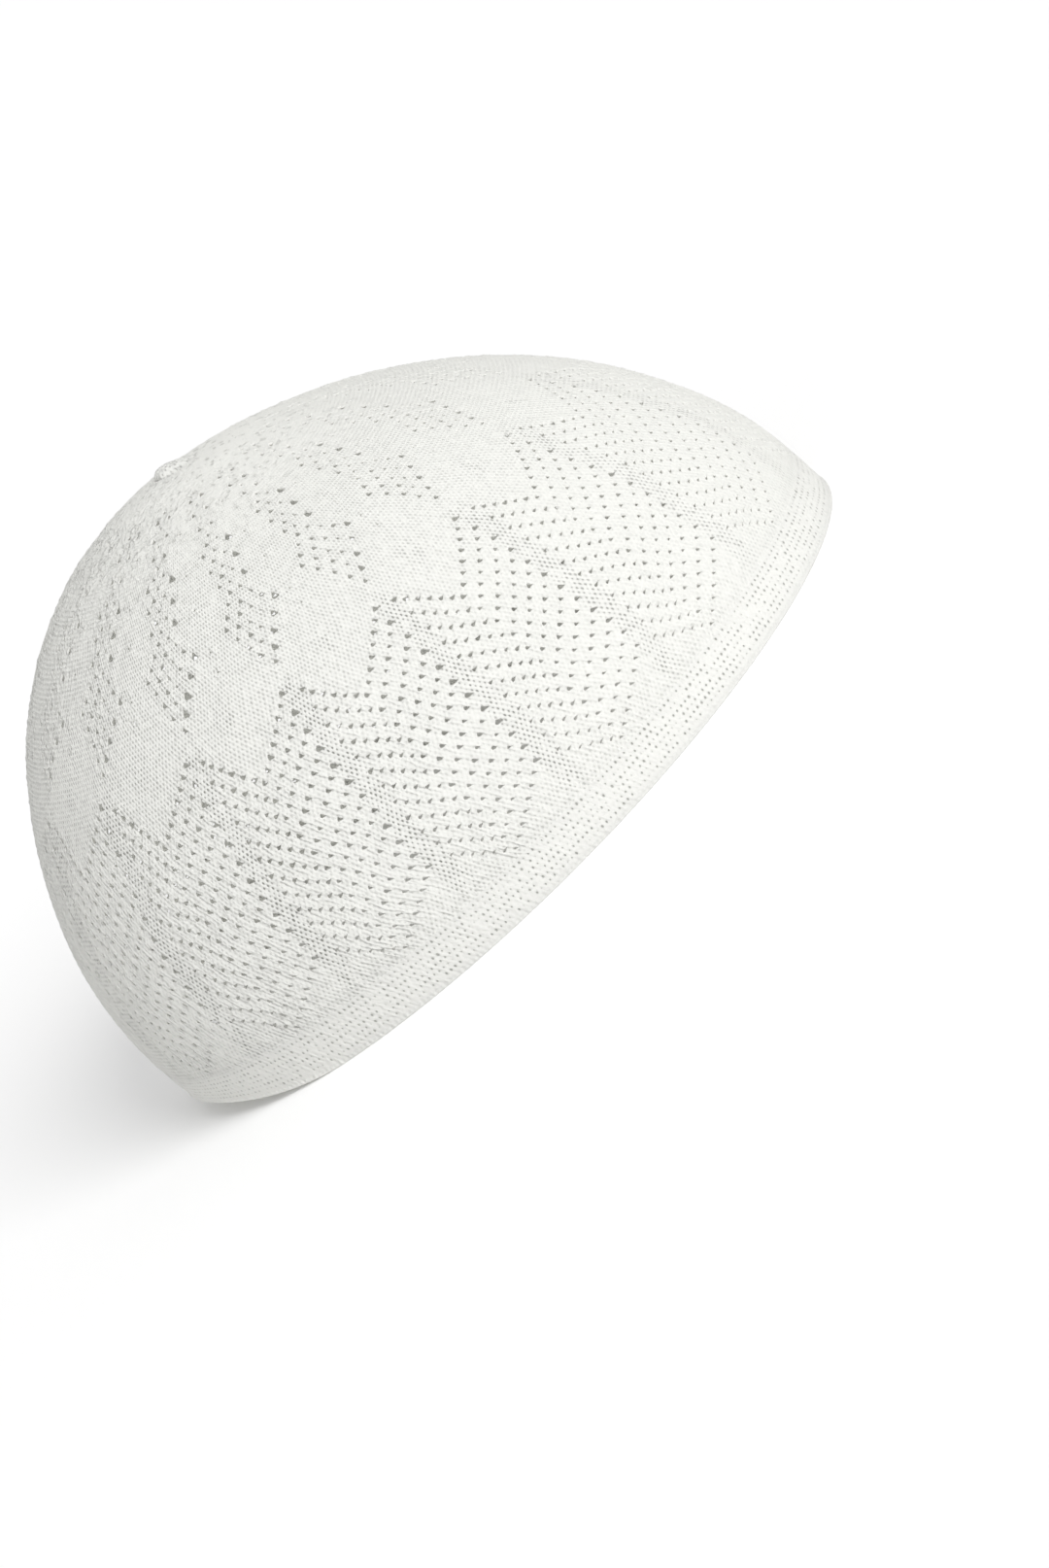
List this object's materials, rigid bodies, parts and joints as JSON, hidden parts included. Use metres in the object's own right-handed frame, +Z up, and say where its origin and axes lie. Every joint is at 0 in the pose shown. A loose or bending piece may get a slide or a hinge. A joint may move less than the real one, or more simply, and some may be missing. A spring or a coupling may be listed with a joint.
{
  "type": "knitted lace skullcap (kufi)",
  "caption": "Rounded brimless knitted skullcap with an openwork chevron pattern, a ribbed rim band and a small closing knot at the crown.",
  "frame": {"origin": "on the flat rim plane, below the middle of the cap", "axes": "+X to the forehead, +Y to the wearer's left ear, +Z up to the closing knot"},
  "size_m": [0.1953, 0.1562, 0.1067],
  "materials": {
    "lace_knit": "fine off-white lace knit, matt",
    "rib_knit": "off-white ribbed knit, matt"
  },
  "bodies": {
    "root": {"crown": "lace_knit", "rim_band": "rib_knit", "closing_knot": "lace_knit"}
  },
  "joints": []
}
